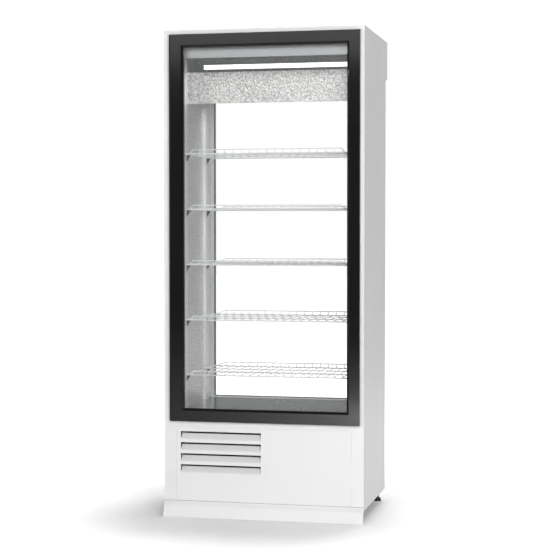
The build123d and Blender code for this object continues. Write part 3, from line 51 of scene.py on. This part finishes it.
# How far the roughness falls and rises across a finish.
COAT_SPREAD = (0.04, 0.06)
BRUSHED_SPREAD = (0.05, 0.08)
MOULDED_SPREAD = (0.05, 0.1)
STUCCO_ROUGHNESS = (0.24, 0.4)
STUCCO_GLINT_PAINT_RANGE = (0.32, 0.68)

SMOOTH_ANGLE = 35

# The floor glows for the camera from a weak glow beside the fridge to FLOOR_WHITE further off; the weak glow
# beside the fridge is painted shade around it.
FLOOR_SIZE = 60
FLOOR_PAINTED_SHADE_GLOW = 0.12
FLOOR_WHITE = 1.05
FLOOR_NEAR = 0.35
FLOOR_FAR = 1.5
BACKDROP_LIGHT = 1.12
ROOM_LIGHT = 0.2

# Name, place, point aimed at, size in metres, power in watts.
STUDIO_LIGHTS = (
    # From the right of the camera; it models the front and the right side.
    ("key", (3.4, -6.9, 2.5), (0, 0, 1.0), (3.0, 3.0), 300),
    # Mirrored by the top of the door frame.
    ("high_panel", (-1.6, -8.2, 4.75), (-1.6, 0, 4.0), (7.0, 4.0), 140),
    # Lights the floor that the foot of the door frame mirrors.
    ("front_floor", (0.15, -3.7, 0.7), (0.15, -3.7, 0), (0.5, 0.5), 36),
    # Lights the floor behind, which the compartment walls mirror.
    ("rear_floor", (0.8, 3.0, 3.6), (0.8, 2.6, 0), (2.5, 2.5), 130),
)

SENSOR_WIDTH = 36
LENS = 97.6
CAMERA_PLACE = (1.4005, -6.2213, 1.183)
CAMERA_TILT = 87.99
CAMERA_TURN = 12.63

# A ray may cross the faces of all four panes of both doors, also at a slant.
CLEAR_LAYERS = 32

# Pieces with round surfaces, besides the wire shelves.
ROUND_PIECES = [
    "compressor", "refrigerant_pipes", "condenser_fan_motor", "evaporator_fan_motors",
    "evaporator_fan_guards", "evaporator_fan_left", "evaporator_fan_right", "condenser_fan",
    "lamp_diffuser", "cable_gland", "rear_panel_screws", "door_hinges", "condenser_coil",
    "evaporator_coil", "compressor_mounts", "foot_front_left", "foot_front_right",
    "foot_rear_left", "foot_rear_right",
]


def linear(hex_colour):
    """Turn an sRGB hex colour into linear RGBA."""
    channels = [int(hex_colour[i:i + 2], 16) / 255 for i in (1, 3, 5)]
    return tuple(c / 12.92 if c <= 0.04045 else ((c + 0.055) / 1.055) ** 2.4 for c in channels) + (1.0,)


def deselect():
    for thing in bpy.context.selected_objects:
        thing.select_set(False)


def add_node(tree, kind, links=None, **settings):
    """Add a shader node, set its sockets and properties by name, and link its inputs."""
    node = tree.nodes.new(kind)
    for name, value in settings.items():
        label = name.replace("_", " ").title()
        if label in node.inputs:
            node.inputs[label].default_value = value
        else:
            setattr(node, name, value)
    for socket, source in (links or {}).items():
        tree.links.new(source, node.inputs[socket])
    return node


def new_material(name, colour, **shader_values):
    """A Principled material with its constants set on the shader's own sockets."""
    material = bpy.data.materials.new(name)
    material.use_nodes = True
    shader = material.node_tree.nodes["Principled BSDF"]
    shader.inputs["Base Color"].default_value = linear(colour)
    for socket, value in shader_values.items():
        label = "IOR" if socket == "ior" else socket.replace("_", " ").title()
        shader.inputs[label].default_value = value
    return material, material.node_tree, shader


def object_coordinates(tree, stretch=(1, 1, 1)):
    coordinates = add_node(tree, "ShaderNodeTexCoord")
    return add_node(tree, "ShaderNodeMapping", {"Vector": coordinates.outputs["Object"]}, Scale=stretch)


def add_bump(tree, shader, height, distance, strength):
    bump = add_node(tree, "ShaderNodeBump", {"Height": height}, Strength=strength, Distance=distance)
    tree.links.new(bump.outputs["Normal"], shader.inputs["Normal"])


def vary_colour(tree, shader, source, dark, light):
    """Blend between two close tones of one finish."""
    mix = add_node(tree, "ShaderNodeMix", data_type="RGBA")
    first, second = [socket for socket in mix.inputs if socket.type == "RGBA"]
    first.default_value = linear(dark)
    second.default_value = linear(light)
    colour = [socket for socket in mix.outputs if socket.type == "RGBA"][0]
    tree.links.new(source, mix.inputs["Factor"])
    tree.links.new(colour, shader.inputs["Base Color"])


def vary_roughness(tree, shader, source, low, high):
    spread = add_node(tree, "ShaderNodeMapRange", {"Value": source}, To_Min=low, To_Max=high)
    tree.links.new(spread.outputs["Result"], shader.inputs["Roughness"])


def powder_coat(name, dark, light, roughness):
    """Powder coat or paint on metal: an even skin with a faint orange peel about 2 mm across."""
    material, tree, shader = new_material(name, light, Roughness=roughness)
    place = object_coordinates(tree)
    peel = add_node(tree, "ShaderNodeTexNoise", {"Vector": place.outputs["Vector"]},
                    Scale=1 / ORANGE_PEEL, Detail=2.0)
    cloud = add_node(tree, "ShaderNodeTexNoise", {"Vector": place.outputs["Vector"]},
                     Scale=1 / COAT_CLOUD, Detail=2.0)
    vary_colour(tree, shader, cloud.outputs["Fac"], dark, light)
    smoother, rougher = COAT_SPREAD
    vary_roughness(tree, shader, cloud.outputs["Fac"], roughness - smoother, roughness + rougher)
    add_bump(tree, shader, peel.outputs["Fac"], *ORANGE_PEEL_RELIEF)
    return material


def stucco_aluminium():
    """Stucco embossed aluminium: hammered cells break every reflection into bright and dark grains; the
    colour also swings between dark and bright grains, painted shade and painted glints on top of the real
    relief.
    """
    material, tree, shader = new_material("stucco_embossed_aluminium", "#DCDCDB",
                                          Metallic=0.7, Roughness=0.3)
    place = object_coordinates(tree)
    cells = add_node(tree, "ShaderNodeTexVoronoi", {"Vector": place.outputs["Vector"]},
                     feature="SMOOTH_F1", Scale=1 / STUCCO_CELL, Smoothness=0.6)
    grain = add_node(tree, "ShaderNodeTexNoise", {"Vector": place.outputs["Vector"]},
                     Scale=1 / STUCCO_CELL, Detail=3.0, Distortion=0.6)
    # Dark and bright grains of the colour: painted shade and painted glints of the stucco cells.
    low, high = STUCCO_GLINT_PAINT_RANGE
    spread = add_node(tree, "ShaderNodeMapRange", {"Value": grain.outputs["Fac"]},
                      From_Min=low, From_Max=high)
    vary_colour(tree, shader, spread.outputs["Result"], "#9C9C9B", "#FAFAF8")
    vary_roughness(tree, shader, grain.outputs["Fac"], *STUCCO_ROUGHNESS)
    add_bump(tree, shader, cells.outputs["Distance"], *STUCCO_RELIEF)
    return material


def brushed_metal(name, dark, light, roughness, stretch, metallic=1.0, grain=HAIRLINE):
    """Metal brushed or drawn along one direction, whose fine lines show as long streaks."""
    material, tree, shader = new_material(name, light, Metallic=metallic, Roughness=roughness)
    place = object_coordinates(tree, stretch)
    lines = add_node(tree, "ShaderNodeTexNoise", {"Vector": place.outputs["Vector"]},
                     Scale=1 / grain, Detail=3.0)
    vary_colour(tree, shader, lines.outputs["Fac"], dark, light)
    smoother, rougher = BRUSHED_SPREAD
    vary_roughness(tree, shader, lines.outputs["Fac"], roughness - smoother, roughness + rougher)
    add_bump(tree, shader, lines.outputs["Fac"], *HAIRLINE_RELIEF)
    return material


def moulded_plastic(name, dark, light, roughness, grain=MOULD_GRIT):
    """Moulded or extruded plastic and rubber with a fine grain from its tool."""
    material, tree, shader = new_material(name, light, Roughness=roughness)
    place = object_coordinates(tree)
    grit = add_node(tree, "ShaderNodeTexNoise", {"Vector": place.outputs["Vector"]},
                    Scale=1 / grain, Detail=2.0)
    vary_colour(tree, shader, grit.outputs["Fac"], dark, light)
    smoother, rougher = MOULDED_SPREAD
    vary_roughness(tree, shader, grit.outputs["Fac"], roughness - smoother, roughness + rougher)
    add_bump(tree, shader, grit.outputs["Fac"], *MOULD_GRIT_RELIEF)
    return material


def clear_glass():
    """Clear float glass: nearly all light passes, the rest is a faint mirror."""
    material, tree, shader = new_material("clear_float_glass", "#F4FAF7", Roughness=0.02, Alpha=0.03, ior=1.5)
    place = object_coordinates(tree)
    wave = add_node(tree, "ShaderNodeTexNoise", {"Vector": place.outputs["Vector"]}, Scale=1 / GLASS_WAVE)
    add_bump(tree, shader, wave.outputs["Fac"], *GLASS_WAVE_RELIEF)
    return material


def lamp_opal():
    """Opal diffuser, evenly bright from the light behind it."""
    material, tree, shader = new_material("opal_diffuser", "#FFFFFF", Roughness=0.5, Emission_Strength=1.0)
    shader.inputs["Emission Color"].default_value = linear("#FFFFFF")
    place = object_coordinates(tree)
    grit = add_node(tree, "ShaderNodeTexNoise", {"Vector": place.outputs["Vector"]}, Scale=1 / OPAL_GRIT)
    add_bump(tree, shader, grit.outputs["Fac"], *OPAL_GRIT_RELIEF)
    return material


# White polyester powder coat on steel sheet: satin, with soft, wide highlights.
white_coat = powder_coat("white_powder_coat", "#EEEEEE", "#F4F4F4", 0.42)
# Black gloss powder coat on the door frames: it mirrors the studio in its faces and bevels.
black_coat = powder_coat("black_gloss_powder_coat", "#070707", "#0B0B0C", 0.1)
# Dark grey sprayed paint on the lamp housing: matt, so the lamp stands out from it.
dark_coat = powder_coat("dark_grey_paint", "#161718", "#1E1F20", 0.6)
# Grey sprayed paint on the fan motors: dull and even.
motor_coat = powder_coat("motor_grey_paint", "#4A4B4E", "#5A5B5E", 0.45)
# Black stoved enamel on the compressor and the condenser: deep, with small highlights.
gloss_black = powder_coat("compressor_black_enamel", "#0C0C0D", "#151516", 0.3)
stucco = stucco_aluminium()
# Stainless deck, polished to a mirror and streaked from front to back; its dark base colour, far below bright
# steel, is a painted dark reflection.
polished_floor = brushed_metal("polished_stainless_floor", "#3B3C3D", "#4A4B4C", 0.08, (1, 0.02, 1))
# Roll-formed galvanised uprights: pale zinc, drawn out along their height.
upright_steel = brushed_metal("galvanised_upright", "#D2D3D4", "#ECECED", 0.4, (1, 1, 0.04), 0.35)
# Brushed aluminium fascia: hairlines from side to side spread its reflection.
fascia_metal = brushed_metal("brushed_aluminium_fascia", "#8F9092", "#C4C5C7", 0.3, (0.015, 1, 1))
# Hot-dip galvanised sheet: dull grey with flat, wide spangles.
zinc_sheet = brushed_metal("galvanised_sheet", "#9A9C9E", "#BCBEC0", 0.42, (0.3, 0.3, 1), 0.9, ZINC_SPANGLE)
# Mill finish aluminium fins: bright and slightly streaked along their height.
coil_fins = brushed_metal("mill_finish_fins", "#AEB0B2", "#CED0D2", 0.35, (1, 1, 0.1))
# Zinc plating on the fan guards and the rear panel's screws: bright, with a fine mottle.
plated_wire = brushed_metal("zinc_plated_wire", "#B9BABC", "#DADBDD", 0.28, (1, 1, 1))
# Drawn copper tube: warm and shiny, with lines along its length.
copper = brushed_metal("drawn_copper_tube", "#9C5A38", "#C07C55", 0.3, (1, 0.1, 1))
# White epoxy on the shelf wires: smooth and glossy, with thin highlights.
shelf_coat = powder_coat("shelf_white_epoxy", "#DADBDC", "#EDEDEE", 0.3)
# Extruded light grey PVC of the sashes: a pale, soft edge beside the black frame.
grey_pvc = moulded_plastic("light_grey_pvc", "#BFC0C1", "#D0D1D2", 0.4)
# Injection moulded black ABS of clips, fans, tray, controls, spacers and feet: dark, with a grained sheen.
black_abs = moulded_plastic("black_abs", "#0D0D0E", "#1B1B1D", 0.45)
# White PVC of the breaker frames: slightly greyer than the coated sheet.
white_pvc = moulded_plastic("white_pvc", "#DCDCDA", "#EBEBEA", 0.4)
# Black rubber of gaskets and mounts: matt.
soft_rubber = moulded_plastic("black_rubber", "#0A0A0B", "#171718", 0.7)
# Moulded green switch lens: deep and glossy.
green_switch = moulded_plastic("green_switch_lens", "#0B5A24", "#157C36", 0.25)
# Rigid polyurethane foam: pale yellow, dull, with visible cells.
pale_foam = moulded_plastic("rigid_pu_foam", "#D9CE9F", "#E8DFB6", 0.8, FOAM_CELL)
# Black anodised grip strip: dark metal with streaks along its height.
anodised_grip = brushed_metal("black_anodised_grip", "#1B1C1E", "#2A2B2D", 0.32, (1, 1, 0.03), 0.6)
glass = clear_glass()
opal = lamp_opal()

FINISHES = {
    "white_sheet": white_coat, "zinc": plated_wire, "black_plastic": black_abs,
    "zinc_sheet": zinc_sheet, "foot_black": black_abs, "white_plastic": white_pvc,
    "foam": pale_foam, "stucco_aluminium": stucco, "polished_steel": polished_floor,
    "upright_steel": upright_steel, "shelf_wire": shelf_coat, "brushed_fascia": fascia_metal,
    "lamp_housing_dark": dark_coat, "lamp_white": opal, "coil_aluminium": coil_fins,
    "motor_metal": motor_coat, "guard_wire": plated_wire, "coil_dark": gloss_black,
    "compressor_black": gloss_black, "rubber": soft_rubber, "copper": copper,
    "switch_green": green_switch, "door_black": black_coat, "grip_dark": anodised_grip,
    "sash_grey": grey_pvc, "door_glass": glass, "spacer_black": black_abs,
    "gasket_rubber": soft_rubber,
}


def dress_nodes():
    """Give every CAD node the finish of its slot."""
    for row in frame["record"]["subparts"]:
        thing = nodes[row["node"]]
        finish = FINISHES[row["material_slot"]]
        if not thing.material_slots:
            thing.data.materials.append(finish)
        for material_slot in thing.material_slots:
            material_slot.material = finish


def smooth_round_pieces(names):
    """Shade curved surfaces smoothly and keep the folds crisp."""
    for name in names:
        deselect()
        nodes[name].select_set(True)
        bpy.context.view_layer.objects.active = nodes[name]
        bpy.ops.object.shade_smooth_by_angle(angle=radians(SMOOTH_ANGLE))
    deselect()


def make_floor():
    """Pale seamless studio floor; what the camera sees of it is lifted to the white of the backdrop, less so
    near the fridge, which paints a shade around it.
    """
    deselect()
    bpy.ops.mesh.primitive_plane_add(size=FLOOR_SIZE, location=(0, 0, 0))
    floor = bpy.context.object
    floor.name = "studio_floor"
    material, tree, shader = new_material("white_studio_vinyl", "#F3F3F3", Roughness=0.9)
    shader.inputs["Specular IOR Level"].default_value = 0.0
    path = add_node(tree, "ShaderNodeLightPath")
    place = object_coordinates(tree)
    reach = add_node(tree, "ShaderNodeVectorMath", {0: place.outputs["Vector"]}, operation="LENGTH")
    # The glow rises with distance from the fridge: its dim ring close by is painted shade.
    spread = add_node(tree, "ShaderNodeMapRange", {"Value": reach.outputs["Value"]},
                      interpolation_type="SMOOTHSTEP", From_Min=FLOOR_NEAR, From_Max=FLOOR_FAR,
                      To_Min=FLOOR_PAINTED_SHADE_GLOW, To_Max=FLOOR_WHITE)
    glow = add_node(tree, "ShaderNodeEmission", {"Strength": spread.outputs["Result"]}, Color=WHITE)
    dark = add_node(tree, "ShaderNodeEmission", Color=BLACK, Strength=0.0)
    lift = add_node(tree, "ShaderNodeMixShader", {0: path.outputs["Is Camera Ray"], 1: dark.outputs[0],
                                                  2: glow.outputs[0]})
    both = add_node(tree, "ShaderNodeAddShader", {0: shader.outputs[0], 1: lift.outputs[0]})
    tree.links.new(both.outputs[0], tree.nodes["Material Output"].inputs["Surface"])
    floor.data.materials.append(material)


def make_light(name, place, aim, size, power):
    data = bpy.data.lights.new(name, "AREA")
    data.shape = "RECTANGLE"
    data.size, data.size_y = size
    data.energy = power
    lamp = bpy.data.objects.new(name, data)
    lamp.location = place
    lamp.rotation_euler = (Vector(aim) - Vector(place)).to_track_quat("-Z", "Y").to_euler()
    lamp.visible_camera = False
    bpy.context.scene.collection.objects.link(lamp)


def make_world():
    """White backdrop for the camera; the room itself sheds a dim, even light."""
    world = bpy.data.worlds.new("studio")
    bpy.context.scene.world = world
    world.use_nodes = True
    tree = world.node_tree
    tree.nodes.clear()
    path = add_node(tree, "ShaderNodeLightPath")
    seen = add_node(tree, "ShaderNodeBackground", Color=WHITE, Strength=BACKDROP_LIGHT)
    shed = add_node(tree, "ShaderNodeBackground", Color=WHITE, Strength=ROOM_LIGHT)
    mix = add_node(tree, "ShaderNodeMixShader", {0: path.outputs["Is Camera Ray"], 1: shed.outputs[0],
                                                 2: seen.outputs[0]})
    add_node(tree, "ShaderNodeOutputWorld", {0: mix.outputs[0]})


def make_camera():
    """The photograph's view: from the right of the fridge, a little above its middle."""
    data = bpy.data.cameras.new("camera")
    data.sensor_width = SENSOR_WIDTH
    data.lens = LENS
    camera = bpy.data.objects.new("camera", data)
    camera.location = CAMERA_PLACE
    camera.rotation_euler = (radians(CAMERA_TILT), 0, radians(CAMERA_TURN))
    bpy.context.scene.collection.objects.link(camera)
    bpy.context.scene.camera = camera


dress_nodes()
wire_shelves = [name for name in nodes if name.startswith("shelf_") and name[-1].isdigit()]
smooth_round_pieces(wire_shelves + ROUND_PIECES)
make_floor()
make_world()
for light in STUDIO_LIGHTS:
    make_light(*light)
make_camera()
bpy.context.scene.view_settings.view_transform = "Standard"
bpy.context.scene.cycles.transparent_max_bounces = CLEAR_LAYERS
